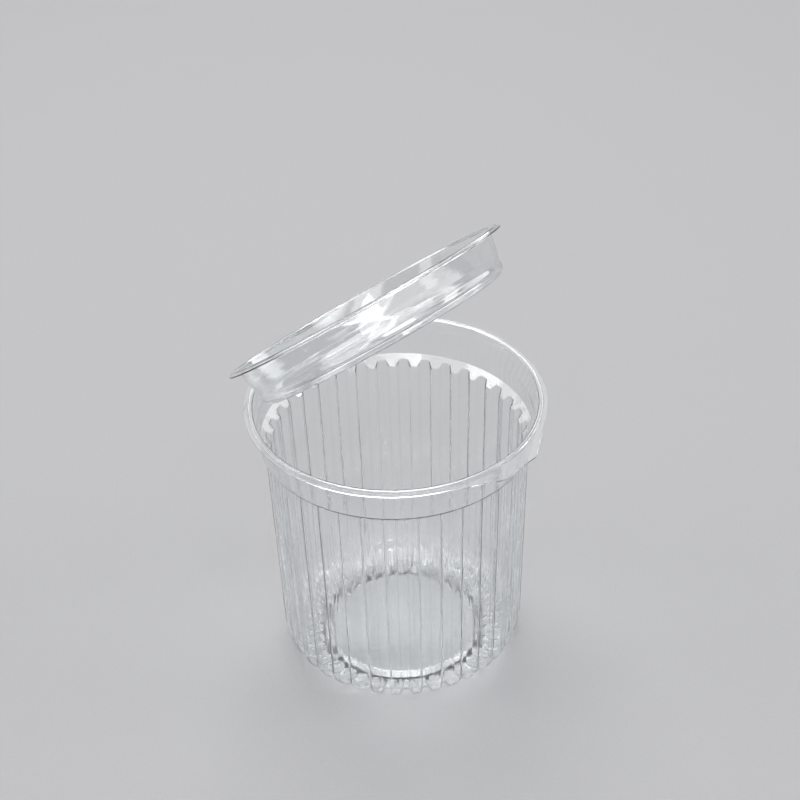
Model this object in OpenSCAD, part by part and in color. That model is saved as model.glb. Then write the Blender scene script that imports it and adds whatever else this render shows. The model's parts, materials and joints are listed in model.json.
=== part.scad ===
// Clear fluted food pot with a hinged plug lid, thermoformed from one sheet of PET.
// Millimetres, Z up. The origin is the centre of the plane the pot stands on.
// The hinge is on the +Y side and the opening tab on the -Y side.

/* [Tub] */
// Height from the resting plane to the crest of the rim
tub_h = 118; // [106:1:132]
// Radius of the flange's trimmed edge
flange_r = 59; // [56:0.5:64]
// Flat width of the flange outside the neck
flange_w = 3; // [2.6:0.1:3.6]
// Thickness of the formed sheet
wall = 0.5; // [0.4:0.05:0.6]

/* [Neck] */
// Depth of the tapered upper band that the plug enters
band_depth = 8.5; // [7.5:0.5:9.5]
// How far the upper band draws in
band_taper = 1.7; // [1.5:0.1:2]
// Depth of the straighter lower band that holds the plug
grip_depth = 7.5; // [7:0.5:8.5]
// How far the lower band draws in
grip_taper = 0.4; // [0.3:0.1:0.6]
// Height of the rim's crest over the flange
crest_h = 1; // [0.8:0.1:1.2]
// Width of the rim's crest
crest_w = 1.3; // [1.1:0.1:1.5]

/* [Flutes] */
// Number of flutes round the wall
flutes = 36; // [28:1:40]
// Depth of a flute
flute_depth = 2.2; // [1.6:0.1:2.6]
// Share of the pitch that a raised rib takes
rib_share = 0.56; // [0.48:0.02:0.62]
// Step from the neck down to the crests of the ribs
shoulder = 2; // [1.6:0.1:2.6]
// How far the wall draws in from the shoulder to the heel
wall_taper = 3; // [2:0.25:4]

/* [Base] */
// Radius of the rounded heel
heel_r = 12.5; // [11:0.5:14]
// Run of the flutes under the base, from the foot ring to the heel
flute_run = 3.2; // [2.4:0.2:6]
// Height of that panel over the resting plane
panel_up = 1.6; // [1:0.2:2.2]
// Width of the ring that the pot stands on
foot_w = 1.6; // [1.2:0.1:2]

/* [Hinge and tabs] */
// Length of the straight living hinge
hinge_l = 50; // [40:1:54]
// Distance of the hinge line outside the flange circle
hinge_out = 2.7; // [2.4:0.1:3.4]
// Radius of the bead formed along the hinge line
bead_r = 0.6; // [0.5:0.05:0.7]
// Width of the opening tab across its corners
tab_w = 23; // [18:0.5:28]
// How far the tab stands out of the flange circle
tab_out = 4.6; // [3.5:0.1:6]
// Radius of the tab's corners
tab_round = 3; // [2:0.25:4]

/* [Lid] */
// Depth of the plug under the crest of the rim
plug_depth = 16.6; // [15.8:0.2:17]
// Rise of the lid's panel over the plug's lower edge
lid_rise = 1.6; // [1:0.2:2.4]
// Opening angle of the lid, closed at 0
lid_open = 40; // [0:1:179]
// Radial room between the plug and the neck
fit_gap = 0.5; // [0.45:0.05:0.7]
// Room between the closed lid's flange and the tub's flange
rest_gap = 0.3; // [0.3:0.05:0.4]

/* [Hidden] */
$fn = 96;

// Sheets overlap by this where they are fused
lap = 0.2;

// Neck radii are of its outer skin, from the flange down to the shoulder
neck_top_r = flange_r - flange_w;
neck_mid_r = neck_top_r - band_taper;
neck_low_r = neck_mid_r - grip_taper;
flange_z = tub_h - crest_h;
neck_mid_z = tub_h - band_depth;
neck_low_z = neck_mid_z - grip_depth;

// The shoulder slopes at 45 degrees, first onto the ribs and then into the flutes
rib_top_r = neck_low_r - shoulder;
rib_low_r = rib_top_r - wall_taper;
root_top_r = rib_top_r - flute_depth;
root_low_r = rib_low_r - flute_depth;
root_top_z = neck_low_z - shoulder - flute_depth;

// The heel of ribs and flutes turns round one ring, and the flutes run out at the foot
heel_ring = rib_low_r - heel_r;
foot_r = heel_ring - flute_run;
panel_r = foot_r - foot_w - panel_up;
HEEL = [for (a = [0 : 15 : 90]) a];

// Hinge line, midway between the two closed flanges
hinge_y = flange_r + hinge_out;
hinge_z = flange_z + rest_gap / 2;
lid_flange_z = flange_z + rest_gap;

// Plug radii are of its outer skin
plug_top_r = neck_top_r - wall - fit_gap;
plug_mid_r = neck_mid_r - wall - fit_gap;
plug_low_r = neck_low_r - wall - fit_gap;
plug_z = tub_h - plug_depth;
plug_turn = 3.4;

// Unit vector, and the left-hand normal at point i of a path
function unit(v) = v / norm(v);
function side(v) = [-v[1], v[0]];
function mitre(p, i) =
    let (n = len(p) - 1)
    let (a = side(unit(p[min(i + 1, n)] - p[min(i, n - 1)])))
    let (b = side(unit(p[max(i, 1)] - p[max(i - 1, 0)])))
    (a + b) / (1 + a * b);

// Outline of a sheet of thickness t on the left of a path
function sheet(p, t) = concat(
    p,
    [for (i = [len(p) - 1 : -1 : 0]) p[i] + t * mitre(p, i)]
);

// Quarter-turn of the heel at radius r about the heel ring, from the floor up
function heel(r) = [for (a = HEEL) [heel_ring + r * sin(a), heel_r - r * cos(a)]];

// Half profile of the tub without ribs, set in by t from its outer skin
function root_profile(t) = concat(
    [
        [0, panel_up + t],
        [panel_r - t * 0.4, panel_up + t],
        [panel_r + panel_up - t * 0.4, t],
        [foot_r, t]
    ],
    heel(heel_r - flute_depth - t),
    [
        [root_top_r - t, root_top_z + t * 0.4],
        [neck_low_r - t, neck_low_z + t * 0.4],
        [neck_mid_r - t, neck_mid_z],
        [neck_top_r - t, flange_z],
        [neck_top_r - t, tub_h - wall / 2 + t],
        [0, tub_h - wall / 2 + t]
    ]
);

// Half profile of the crests of the ribs, set in by t
rib_start = foot_r - foot_w / 2;
rib_stop = neck_low_z - shoulder / 2;
function rib_profile(t) = concat(
    [[rib_start, t]],
    heel(heel_r - t),
    [[rib_top_r - t, rib_stop], [rib_start, rib_stop]]
);

// Plan of all ribs as one star, each rib narrower by t on both sides
rib_half = 180 / flutes * rib_share;
star_in = foot_r / 2;
star_out = flange_r + 6;
function polar(r, a) = [r * cos(a), r * sin(a)];
function star(t) = [
    for (i = [0 : flutes - 1])
        let (c = i * 360 / flutes)
        for (s = [
            [star_in, -rib_half + asin(t / star_in)],
            [star_out, -rib_half + asin(t / star_out)],
            [star_out, rib_half - asin(t / star_out)],
            [star_in, rib_half - asin(t / star_in)]
        ])
            polar(s[0], c + s[1])
];

// Solid of the fluted body, set in by t from its outer skin
module body(t) {
    rotate_extrude()
        polygon(root_profile(t));
    intersection() {
        rotate_extrude()
            polygon(rib_profile(t));
        translate([0, 0, -1])
            linear_extrude(height = tub_h)
                polygon(star(t));
    }
}

// Trimmed outline of a flange, with the tab in front and the hinge tongue behind
tab_at = [tab_w / 2 - tab_round, flange_r + tab_out - tab_round];
tab_lean = atan2(tab_at[0], tab_at[1]) + acos((flange_r - tab_round) / norm(tab_at));
module outline(reach) {
    circle(r = flange_r);
    for (m = [0, 1])
        mirror([m, 0])
            translate([tab_at[0], -tab_at[1]])
                circle(r = tab_round);
    polygon([
        (flange_r - lap) * [sin(tab_lean), -cos(tab_lean)],
        [tab_at[0], -tab_at[1]] + tab_round * [sin(tab_lean), -cos(tab_lean)],
        [tab_at[0], -tab_at[1] - tab_round],
        [-tab_at[0], -tab_at[1] - tab_round],
        [-tab_at[0], -tab_at[1]] + tab_round * [-sin(tab_lean), -cos(tab_lean)],
        (flange_r - lap) * [-sin(tab_lean), -cos(tab_lean)]
    ]);
    translate([-hinge_l / 2, 0])
        square([hinge_l, reach]);
}

// One flange, with its round hole
module flange(z, hole, reach) {
    translate([0, 0, z])
        linear_extrude(height = wall)
            difference() {
                outline(reach);
                circle(r = hole);
            }
}

// Crest of the tub's rim, from the top of the neck over to the flange
module rim_crest() {
    rotate_extrude()
        polygon(sheet([
            [neck_top_r - wall + 0.3, tub_h],
            [neck_top_r + crest_w - 0.4, tub_h],
            [neck_top_r + crest_w, tub_h - 0.4],
            [neck_top_r + crest_w, flange_z - wall]
        ], -wall));
}

module tub() {
    color([0.86, 0.9, 0.92, 0.35]) {
        difference() {
            body(0);
            body(wall);
        }
        rim_crest();
        flange(flange_z - wall, neck_top_r + crest_w - wall / 2, hinge_y);
        translate([-hinge_l / 2, hinge_y, hinge_z])
            rotate([0, 90, 0])
                cylinder(r = bead_r, h = hinge_l);
    }
}

// Plug, panel and crest of the lid as one sheet, in the closed place
module plug() {
    rotate_extrude()
        polygon(sheet([
            [0, plug_z + lid_rise],
            [plug_low_r - plug_turn - 4.6, plug_z + lid_rise],
            [plug_low_r - plug_turn - 3, plug_z],
            [plug_low_r - plug_turn + 1, plug_z],
            [plug_low_r - 0.8, plug_z + 1.5],
            [plug_low_r, plug_z + plug_turn],
            [plug_low_r - 0.3, plug_z + plug_turn + 1.6],
            [plug_mid_r, neck_mid_z],
            [plug_top_r, flange_z],
            [plug_top_r, tub_h + rest_gap],
            [neck_top_r + crest_w + rest_gap, tub_h + rest_gap],
            [neck_top_r + crest_w + rest_gap, lid_flange_z],
            [neck_top_r + crest_w + rest_gap + 0.6, lid_flange_z]
        ], wall));
}

module lid() {
    color([0.88, 0.92, 0.94, 0.35])
        translate([0, hinge_y, hinge_z])
            rotate([-lid_open, 0, 0])
                translate([0, -hinge_y, -hinge_z]) {
                    plug();
                    flange(
                        lid_flange_z,
                        neck_top_r + crest_w + rest_gap + wall / 2,
                        hinge_y - bead_r - rest_gap
                    );
                }
}

tub();
lid();
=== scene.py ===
import json
import math
import bpy
import bmesh
from mathutils import Matrix, Vector


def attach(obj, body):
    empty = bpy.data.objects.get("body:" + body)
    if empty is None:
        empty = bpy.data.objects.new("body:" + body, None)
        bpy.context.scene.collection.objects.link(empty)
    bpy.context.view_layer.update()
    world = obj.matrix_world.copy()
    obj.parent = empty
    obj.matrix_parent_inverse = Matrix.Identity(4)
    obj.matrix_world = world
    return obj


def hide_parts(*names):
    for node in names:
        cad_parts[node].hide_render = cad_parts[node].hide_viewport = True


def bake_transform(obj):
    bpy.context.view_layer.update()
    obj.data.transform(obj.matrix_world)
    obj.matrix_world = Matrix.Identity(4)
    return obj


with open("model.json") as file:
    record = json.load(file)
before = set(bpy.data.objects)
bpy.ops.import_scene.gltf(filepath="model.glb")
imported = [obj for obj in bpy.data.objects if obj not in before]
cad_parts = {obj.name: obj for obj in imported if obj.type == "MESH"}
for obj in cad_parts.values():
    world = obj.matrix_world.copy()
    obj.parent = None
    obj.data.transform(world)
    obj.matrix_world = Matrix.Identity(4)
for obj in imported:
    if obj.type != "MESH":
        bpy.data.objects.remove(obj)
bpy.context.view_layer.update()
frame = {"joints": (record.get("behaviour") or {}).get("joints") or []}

# The tub: a pot drawn from one sheet of clear PET over a fluted mould. The flutes run from a
# scalloped shoulder under the neck, down the wall, round the heel and out at a thin foot ring.
# The trimmed flange round the rim carries the finger tab in front and the hinge tongue behind.
MM = 0.001
SHEET = 0.5
RIM_Z = 118.0
CREST_R = 56.8
CREST_H = 1.0
FLANGE_R = 59.0
NECK_R = 56.0
LEDGE_R = 54.3
LEDGE_Z = 109.5
NECK_LOW_R = 53.9
NECK_LOW_Z = 102.0
RIB_TOP_R = 51.9
RIB_TOP_Z = 100.0
FLUTE_DEPTH = 2.2
FOOT_OUT = 33.2
FOOT_IN = 31.6
PANEL_UP = 1.6

# Half profiles of the outer skin in millimetres, from the middle of the base out and up. A corner is
# (radius, height, bend radius, steps in the bend). The root of the flutes and the ribs have as many points
# each, because the sheet swings from one to the other.
skin_top = RIM_Z - SHEET
flange_z = skin_top - CREST_H
base_path = [
    (0, PANEL_UP), (FOOT_IN - PANEL_UP, PANEL_UP, 1.0, 4), (FOOT_IN, 0, 0.8, 4), (FOOT_OUT, 0, 0.8, 3),
]
neck_path = [
    (NECK_LOW_R, NECK_LOW_Z, 0.9, 5), (LEDGE_R, LEDGE_Z, 2.0, 4),
    (NECK_R, skin_top, 0.36, 4), (CREST_R, skin_top, 0.36, 4), (CREST_R, flange_z, 0.62, 4),
    (FLANGE_R - 0.8, flange_z, 0, 2), (FLANGE_R, flange_z),
]
root_top = (RIB_TOP_R - FLUTE_DEPTH, RIB_TOP_Z - FLUTE_DEPTH, 0.8, 5)
root_path = base_path + [(35.9, 2.1, 0.7, 3), (46.4, FLUTE_DEPTH, 9.8, 14), root_top] + neck_path
rib_top = (RIB_TOP_R, RIB_TOP_Z, 0.8, 5)
rib_path = base_path + [(34.7, 0, 0.7, 3), (48.5, 0, 12.2, 14), rib_top] + neck_path
NO_TURN = 0.01
STRAIGHT_RUN = 0.2


def rounded(path):
    """The points of a profile with its corners bent round. A corner where the line runs straight on becomes
    a short straight run of as many steps."""
    points = [Vector(path[0])]
    for before, corner, after in zip(path, path[1:], path[2:]):
        here = Vector(corner[:2])
        bend, steps = corner[2:]
        back = (Vector(before[:2]) - here).normalized()
        on = (Vector(after[:2]) - here).normalized()
        half = back.angle(on) / 2
        if half > math.pi / 2 - NO_TURN:
            points += [here + back * STRAIGHT_RUN * (1 - 2 * i / steps) for i in range(steps + 1)]
            continue
        reach = bend / math.tan(half)
        centre = here + (back + on).normalized() * bend / math.sin(half)
        first = here + back * reach - centre
        last = here + on * reach - centre
        swing = first.angle(last)
        for i in range(steps + 1):
            turn = swing * i / steps
            arm = (first * math.sin(swing - turn) + last * math.sin(turn)) / math.sin(swing)
            points.append(centre + arm)
    points.append(Vector(path[-1]))
    return points


HINGE_L = 50.0
TONGUE = 61.0
TAB_W = 23.0
TAB_FRONT = 63.6
TAB_ROUND = 3.0


def flange_reach(angle):
    """Distance from the axis to the flange's trimmed edge: a circle with the square hinge tongue behind it
    and the tab before it, which has a straight front, two round corners and flanks that meet the circle."""
    x, y = abs(math.cos(angle)), math.sin(angle)
    if y >= 0:
        behind = x * TONGUE < HINGE_L / 2 * y
        return max(FLANGE_R, TONGUE / y if behind else HINGE_L / 2 / x)
    off = math.atan2(x, -y)
    corner_x = TAB_W / 2 - TAB_ROUND
    corner_y = TAB_FRONT - TAB_ROUND
    corner_out = math.hypot(corner_x, corner_y)
    lean = math.atan2(corner_x, corner_y) + math.acos((FLANGE_R - TAB_ROUND) / corner_out)
    flank_x = corner_x + TAB_ROUND * math.sin(lean)
    flank_y = corner_y + TAB_ROUND * math.cos(lean)
    if off < math.atan2(corner_x, TAB_FRONT):
        return TAB_FRONT / math.cos(off)
    if off < math.atan2(flank_x, flank_y):
        along = math.sin(off) * corner_x + math.cos(off) * corner_y
        return along + math.sqrt(TAB_ROUND ** 2 - corner_out ** 2 + along ** 2)
    return FLANGE_R / math.cos(lean - off) if off < lean else FLANGE_R


FLUTES = 36
RIB_SHARE = 0.56
FLANK_SHARE = 0.2
FLANGE_POINTS = 3
WELD = 0.004


def drawn_sheet(root, rib, steps):
    """A sheet spun from a half profile. Round the axis each point swings out from the root of the flutes to
    its place on the ribs, and the outermost points follow the flange's trimmed edge."""
    bm = bmesh.new()
    to_rib = bm.verts.layers.float_vector.new("to_rib")
    to_edge = bm.verts.layers.float.new("to_edge")
    chain = []
    for inner, outer in zip(root, rib):
        vert = bm.verts.new((inner.x * MM, 0, inner.y * MM))
        vert[to_rib] = ((outer.x - inner.x) * MM, 0, (outer.y - inner.y) * MM)
        chain.append(vert)
    flat_start = root[-1 - FLANGE_POINTS].x
    for vert, point in list(zip(chain, root))[-FLANGE_POINTS:]:
        vert[to_edge] = (point.x - flat_start) / (root[-1].x - flat_start)
    edges = [bm.edges.new(pair) for pair in zip(chain, chain[1:])]
    bmesh.ops.spin(bm, geom=chain + edges, cent=(0, 0, 0), axis=(0, 0, 1), angle=math.tau,
                   steps=steps, use_merge=True)
    bmesh.ops.remove_doubles(bm, verts=bm.verts, dist=WELD * MM)
    for vert in bm.verts:
        radius = math.hypot(vert.co.x, vert.co.y)
        if radius < WELD * MM:
            continue
        angle = math.atan2(vert.co.y, vert.co.x)
        # The phase is 0 in the middle of a rib and 0.5 in the middle of a flute.
        phase = abs((angle * FLUTES / math.tau + 0.5) % 1 - 0.5)
        rise = min(1, max(0, ((RIB_SHARE + FLANK_SHARE) / 2 - phase) / FLANK_SHARE))
        rise = rise * rise * (3 - 2 * rise)
        radius += vert[to_rib].x * rise
        radius += (flange_reach(angle) - FLANGE_R) * MM * vert[to_edge]
        vert.co = (radius * math.cos(angle), radius * math.sin(angle), vert.co.z + vert[to_rib].z * rise)
    trimmed = [vert for vert in bm.verts if math.isclose(vert[to_edge], 1)]
    # The tongue's two corners are sharp, so the nearest trimmed points go there.
    for side in (-1, 1):
        corner = Vector((side * HINGE_L / 2 * MM, TONGUE * MM, trimmed[0].co.z))
        min(trimmed, key=lambda vert: (vert.co - corner).length).co = corner
    bmesh.ops.recalc_face_normals(bm, faces=bm.faces)
    # The sheet is the outer skin, so its lowest face looks down.
    lowest = min(bm.faces, key=lambda face: face.calc_center_median().z)
    if lowest.normal.z > 0:
        bmesh.ops.reverse_faces(bm, faces=bm.faces)
    return bm


TRIM_EASE = 0.12
TRIM_ANGLE = math.radians(60)
scene = bpy.context.scene


def placed(name, bm):
    """The object of a finished bmesh, smooth shaded and in the scene."""
    for face in bm.faces:
        face.smooth = True
    mesh = bpy.data.meshes.new(name)
    bm.to_mesh(mesh)
    bm.free()
    piece = bpy.data.objects.new(name, mesh)
    scene.collection.objects.link(piece)
    return piece


def formed_piece(name, bm):
    """The finished object of a sheet: its thickness goes to the food side, and its trimmed edge is eased."""
    piece = placed(name, bm)
    wall = piece.modifiers.new("sheet", "SOLIDIFY")
    wall.thickness = SHEET * MM
    wall.offset = -1
    wall.use_even_offset = True
    ease = piece.modifiers.new("trim", "BEVEL")
    ease.width = TRIM_EASE * MM
    ease.segments = 2
    ease.limit_method = "ANGLE"
    ease.angle_limit = TRIM_ANGLE
    ease.harden_normals = True
    return piece


class Signal:
    """A shader socket that takes part in plain arithmetic."""

    def __init__(self, tree, socket):
        self.tree, self.socket = tree, socket

    def add(self, kind, settings=None, inputs=None, output=0):
        node = self.tree.nodes.new(kind)
        for key, value in (settings or {}).items():
            setattr(node, key, value)
        for key, value in (inputs or {}).items():
            if isinstance(value, Signal):
                self.tree.links.new(value.socket, node.inputs[key])
            else:
                node.inputs[key].default_value = value
        return Signal(self.tree, node.outputs[output])

    def math(self, operation, a, b):
        return self.add("ShaderNodeMath", {"operation": operation}, {0: a, 1: b})

    def noise(self, vector, scale, detail):
        return self.add("ShaderNodeTexNoise", None, {"Vector": vector, "Scale": scale, "Detail": detail})

    def ramp(self, value, low, high):
        return self.add("ShaderNodeMapRange", {"interpolation_type": "SMOOTHSTEP"},
                        {"Value": value, "From Min": low, "From Max": high})

    def mix(self, factor, a, b):
        return self.add("ShaderNodeMix", {"data_type": "RGBA"}, {"Factor": factor, "A": a, "B": b}, 2)

    def __add__(self, other):
        return self.math("ADD", self, other)

    def __radd__(self, other):
        return self.math("ADD", other, self)

    def __rsub__(self, other):
        return self.math("SUBTRACT", other, self)

    def __mul__(self, other):
        return self.math("MULTIPLY", self, other)

    def __rmul__(self, other):
        return self.math("MULTIPLY", other, self)

    def feed(self, node, name):
        self.tree.links.new(self.socket, node.inputs[name])


PET_IOR = 1.57
PET_CLEAR = (0.985, 0.992, 0.995, 1)
PET_CLOUDED = (0.955, 0.97, 0.977, 1)
CLOUDS_PER_M = 55.0
DRAW_LINE = (2.4 * MM, 2.4 * MM, 83.0 * MM)
SCUFF_TURN = (0.5, 0.3, 0.8)
SCUFFS_PER_M = (90.0, 1500.0, 260.0)
SCUFF_START, SCUFF_FULL = 0.66, 0.74
RIPPLE_STRENGTH = 0.06
RIPPLE_DEPTH = 0.6


def clear_pet(name, clear, gloss, haze, scuff, turned=0.0):
    """Formed PET: glossy, with a breath of haze, draw lines down the wall and light handling scuffs. Its
    clear share is 1 on a whole sheet and less where it is creased. A piece that is turned about X after
    it is drawn takes its draw lines with it."""
    material = bpy.data.materials.new(name)
    material.use_nodes = True
    tree = material.node_tree
    shader = tree.nodes["Principled BSDF"]
    shader.inputs["Transmission Weight"].default_value = clear
    shader.inputs["IOR"].default_value = PET_IOR
    place = Signal(tree, tree.nodes.new("ShaderNodeTexCoord").outputs["Object"])
    cloud = place.noise(place, CLOUDS_PER_M, 3.0)
    down = place.add("ShaderNodeMapping", {"vector_type": "TEXTURE"},
                     {"Vector": place, "Rotation": (turned, 0, 0), "Scale": DRAW_LINE})
    draw = place.noise(down, 1.0, 2.0)
    across = place.add("ShaderNodeMapping", None,
                       {"Vector": place, "Rotation": SCUFF_TURN, "Scale": SCUFFS_PER_M})
    marks = place.ramp(place.noise(across, 1.0, 1.0), SCUFF_START, SCUFF_FULL)
    place.mix(cloud, PET_CLEAR, PET_CLOUDED).feed(shader, "Base Color")
    (gloss + haze * cloud + scuff * marks).feed(shader, "Roughness")
    ripple = place.add("ShaderNodeBump", None, {
        "Strength": RIPPLE_STRENGTH, "Distance": RIPPLE_DEPTH * MM, "Height": 0.7 * draw + 0.3 * cloud})
    ripple.feed(shader, "Normal")
    return material


TUB_STEPS = 504
tub = formed_piece("fluted_tub", drawn_sheet(rounded(root_path), rounded(rib_path), TUB_STEPS))
tub.data.materials.append(clear_pet("tub_pet", clear=1.0, gloss=0.02, haze=0.035, scuff=0.12))
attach(tub, "tub_body")
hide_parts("tub")

# The lid: a plug pressed from the other end of the same sheet. Its wall follows the neck with a little
# room, with a rounded grip bead low down, and its crest and flange lie over the rim when it is shut.
# It is drawn shut and then swung open: its hinge's travel starts at shut, and 0 is where it rests.
FIT_GAP = 0.5
REST_GAP = 0.3
GRIP_R = NECK_LOW_R - SHEET - FIT_GAP
PLUG_Z = 101.4
PANEL_Z = 103.0
LID_STEPS = 360
lid_top = RIM_Z + REST_GAP
lid_crest_r = CREST_R + SHEET + REST_GAP
lid_flange_z = flange_z + SHEET + REST_GAP
lid_path = [
    (0, PANEL_Z), (GRIP_R - 8.0, PANEL_Z, 1.2, 4), (GRIP_R - 6.3, PLUG_Z, 1.2, 4),
    (GRIP_R - 2.5, PLUG_Z, 1.4, 4), (GRIP_R - 0.7, PLUG_Z + 1.6, 1.6, 4),
    (GRIP_R, PLUG_Z + 3.4, 1.6, 4), (GRIP_R - 0.35, PLUG_Z + 5.2, 1.6, 4),
    (LEDGE_R - SHEET - FIT_GAP, LEDGE_Z, 2.0, 4), (NECK_R - SHEET - FIT_GAP, lid_top, 0.35, 4),
    (lid_crest_r, lid_top, 0.35, 4), (lid_crest_r, lid_flange_z, 0.62, 4),
    (FLANGE_R - 0.35, lid_flange_z, 0, 2), (FLANGE_R, lid_flange_z),
]
lid_points = rounded(lid_path)
lid_sheet = drawn_sheet(lid_points, lid_points, LID_STEPS)
lid_joint = frame["joints"][0]
hinge = Vector(lid_joint["pos_m"])
lid_open = math.radians(-lid_joint["range_deg"][0])
opening = Matrix.Rotation(-lid_open, 3, "X")
bmesh.ops.rotate(lid_sheet, verts=lid_sheet.verts, cent=hinge, matrix=opening)
lid = formed_piece("plug_lid", lid_sheet)
lid_pet = clear_pet("lid_pet", clear=1.0, gloss=0.02, haze=0.035, scuff=0.15, turned=-lid_open)
lid.data.materials.append(lid_pet)
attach(lid, "lid_body")
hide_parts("lid")

# The living hinge: the strip of sheet left between tub and lid, pressed thin into a round fold.
# It runs from the tub's flange round to the open lid's flange, and is drawn fixed in that bend.
FOLD_R = 0.5
FOLD_T = 0.2
FOLD_STEPS = 16
FOLD_START = math.radians(-90)
strip_end = Vector((-HINGE_L / 2, 0, 0)) * MM
tub_side = Vector((0, TONGUE, flange_z + SHEET / 2)) * MM
lid_side = Vector((0, TONGUE, lid_flange_z + SHEET / 2)) * MM
line = [tub_side]
for i in range(FOLD_STEPS + 1):
    turn = FOLD_START + (math.pi - lid_open) * i / FOLD_STEPS
    line.append(hinge + Vector((0, math.cos(turn), math.sin(turn))) * FOLD_R * MM)
line.append(hinge + opening @ (lid_side - hinge))
fold = bmesh.new()
strip = [fold.verts.new(point + strip_end) for point in line]
strip_edges = [fold.edges.new(pair) for pair in zip(strip, strip[1:])]
drawn = bmesh.ops.extrude_edge_only(fold, edges=strip_edges)
far_side = [item for item in drawn["geom"] if isinstance(item, bmesh.types.BMVert)]
bmesh.ops.translate(fold, verts=far_side, vec=(HINGE_L * MM, 0, 0))
hinge_fold = placed("hinge_fold", fold)
film = hinge_fold.modifiers.new("film", "SOLIDIFY")
film.thickness = FOLD_T * MM
film.offset = 0
hinge_fold.data.materials.append(clear_pet("hinge_film", clear=0.6, gloss=0.2, haze=0.1, scuff=0.2))
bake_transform(hinge_fold)

# The floor: one wide sheet of pale grey card that the pot stands on. Far from the pot it takes on
# the backdrop's own tone, so that no horizon shows behind the pot.
FLOOR_HALF = 12.0
CARD_DARK = (0.40, 0.40, 0.405, 1)
CARD_LIGHT = (0.44, 0.44, 0.445, 1)
CARD_TOOTH_PER_M = 900.0
BACKDROP = (0.53, 0.53, 0.535, 1)
FADE_START, FADE_END = 0.45, 1.5


def looked_at(tree):
    """1 for what the camera sees, straight or through the sheet, and 0 for what only lights the pot."""
    path = tree.nodes.new("ShaderNodeLightPath")
    return Signal(tree, path.outputs["Is Camera Ray"]) + Signal(tree, path.outputs["Is Transmission Ray"])


card = bmesh.new()
bmesh.ops.create_grid(card, x_segments=1, y_segments=1, size=FLOOR_HALF)
floor = placed("floor", card)
floor_card = bpy.data.materials.new("floor_card")
floor_card.use_nodes = True
tree = floor_card.node_tree
shader = tree.nodes["Principled BSDF"]
shader.inputs["Roughness"].default_value = 0.9
shader.inputs["Specular IOR Level"].default_value = 0.1
place = Signal(tree, tree.nodes.new("ShaderNodeTexCoord").outputs["Object"])
place.mix(place.noise(place, CARD_TOOTH_PER_M, 2.0), CARD_DARK, CARD_LIGHT).feed(shader, "Base Color")
distance = place.add("ShaderNodeVectorMath", {"operation": "LENGTH"}, {0: place}, 1)
far = place.ramp(distance, FADE_START, FADE_END)
glow = place.add("ShaderNodeEmission", None, {"Color": BACKDROP})
card_face = Signal(tree, shader.outputs["BSDF"])
face = place.add("ShaderNodeMixShader", None, {0: far * looked_at(tree), 1: card_face, 2: glow})
face.feed(tree.nodes["Material Output"], "Surface")
floor.data.materials.append(floor_card)


# The light: six soft boxes round the pot, the broadest one overhead, all hidden from the camera. The world
# lights the card evenly. The plastic mirrors a dim studio with a low window, a ceiling that makes the heel
# sparkle, and a hoop of light, leaning to the back right, that picks out the shoulder's scallops.
def soft_box(name, place, aim, size, power):
    lamp = bpy.data.lights.new(name, "AREA")
    lamp.shape = "RECTANGLE"
    lamp.size, lamp.size_y = size
    lamp.energy = power
    box = bpy.data.objects.new(name, lamp)
    box.location = place
    box.visible_camera = False
    box.rotation_euler = (Vector(aim) - Vector(place)).to_track_quat("-Z", "Y").to_euler()
    scene.collection.objects.link(box)


soft_box("over", (0.35, 0.5, 1.5), (0, 0, 0.08), (0.7, 0.7), 13)
soft_box("left", (-0.95, 0.85, 1.05), (0, 0, 0.08), (0.7, 0.6), 4)
soft_box("right", (0.8, -0.95, 1.0), (0, 0, 0.08), (0.5, 0.7), 4)
soft_box("front", (-0.55, -0.62, 1.15), (0, 0, 0.08), (0.9, 0.3), 3.4)
soft_box("low", (-0.6, -1.15, 0.25), (0, 0, 0.12), (0.8, 0.2), 1.5)
soft_box("back", (0.75, 0.73, 0.88), (0, 0, 0.1), (0.8, 0.3), 0.9)
AMBIENT = (0.5, 0.5, 0.51, 1)
ROOM_DARK = (0.12, 0.12, 0.125, 1)
WINDOW = (2.0, 2.0, 2.0, 1)
HOOP = (2.6, 2.6, 2.6, 1)
CEILING = (4.2, 4.2, 4.2, 1)
UPRIGHT = (0, 0, 1)
HOOP_AXIS = (0.272, 0.267, 0.924)
BAND_SOFT = 0.05
world = bpy.data.worlds.new("studio")
scene.world = world
world.use_nodes = True
tree = world.node_tree
way = Signal(tree, tree.nodes.new("ShaderNodeTexCoord").outputs["Generated"])


def bright_band(axis, low, high):
    """1 where the direction's share along an axis lies between low and high, fading to 0 outside them."""
    share = way.add("ShaderNodeVectorMath", {"operation": "DOT_PRODUCT"}, {0: way, 1: axis}, 1)
    return way.ramp(share, low - BAND_SOFT, low) * (1 - way.ramp(share, high, high + BAND_SOFT))


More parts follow.
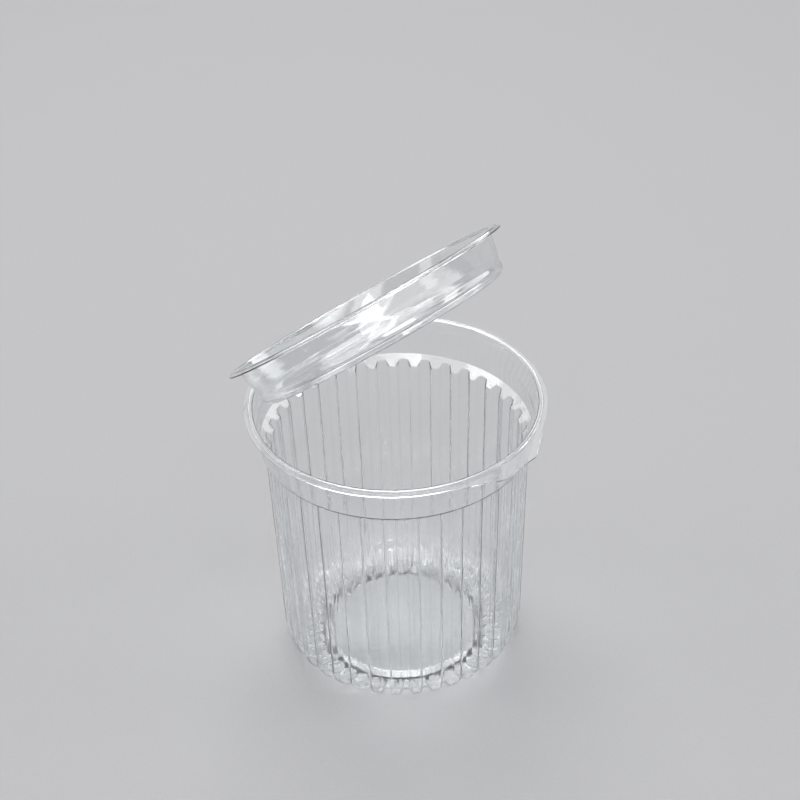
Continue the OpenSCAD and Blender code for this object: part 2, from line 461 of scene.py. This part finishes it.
studio = way.mix(bright_band(UPRIGHT, 0.13, 0.24), ROOM_DARK, WINDOW)
studio = way.mix(bright_band(HOOP_AXIS, 0.42, 0.58), studio, HOOP)
studio = way.mix(bright_band(UPRIGHT, 0.92, 1.1), studio, CEILING)
path = tree.nodes.new("ShaderNodeLightPath")
from_floor = way.math("MINIMUM", Signal(tree, path.outputs["Diffuse Depth"]), 1.0)
mirrored = Signal(tree, path.outputs["Is Glossy Ray"]) * (1 - from_floor)
plain = way.mix(looked_at(tree), AMBIENT, BACKDROP)
way.mix(mirrored, plain, studio).feed(tree.nodes["Background"], "Color")

# The camera: the photograph's view, from the front left and above, turned a little on its own axis.
# Its focal length and the centre of its view are in pixels of the square frame.
AZIMUTH, ELEVATION, ROLL = math.radians(-45.6), math.radians(36.5), math.radians(2.0)
DISTANCE = 14 * FLANGE_R * MM
FOCAL_PX, CENTRE_PX, FRAME_PX = 2130.0, (395.4, 401.1), 800.0
target = Vector((0, 0, (RIM_Z - CREST_H) * MM))
level = math.cos(ELEVATION)
back = Vector((math.sin(AZIMUTH) * level, -math.cos(AZIMUTH) * level, math.sin(ELEVATION)))
right = Vector((math.cos(AZIMUTH), math.sin(AZIMUTH), 0))
up = back.cross(right)
lens = bpy.data.cameras.new("photo_view")
lens.sensor_width = 36.0
lens.lens = FOCAL_PX / FRAME_PX * lens.sensor_width
lens.shift_x = (FRAME_PX / 2 - CENTRE_PX[0]) / FRAME_PX
lens.shift_y = (CENTRE_PX[1] - FRAME_PX / 2) / FRAME_PX
lens.clip_start = 0.01
camera = bpy.data.objects.new("photo_view", lens)
turned_right = math.cos(ROLL) * right - math.sin(ROLL) * up
turned_up = math.sin(ROLL) * right + math.cos(ROLL) * up
pose = Matrix((turned_right, turned_up, back)).transposed().to_4x4()
pose.translation = target + back * DISTANCE
camera.matrix_world = pose
scene.collection.objects.link(camera)
scene.camera = camera
scene.view_settings.view_transform = "Standard"

# A ray to the floor inside the pot crosses many walls, so paths are allowed to be long.
scene.cycles.max_bounces = 48
scene.cycles.transmission_bounces = 48
scene.cycles.glossy_bounces = 12
scene.cycles.blur_glossy = 0.0
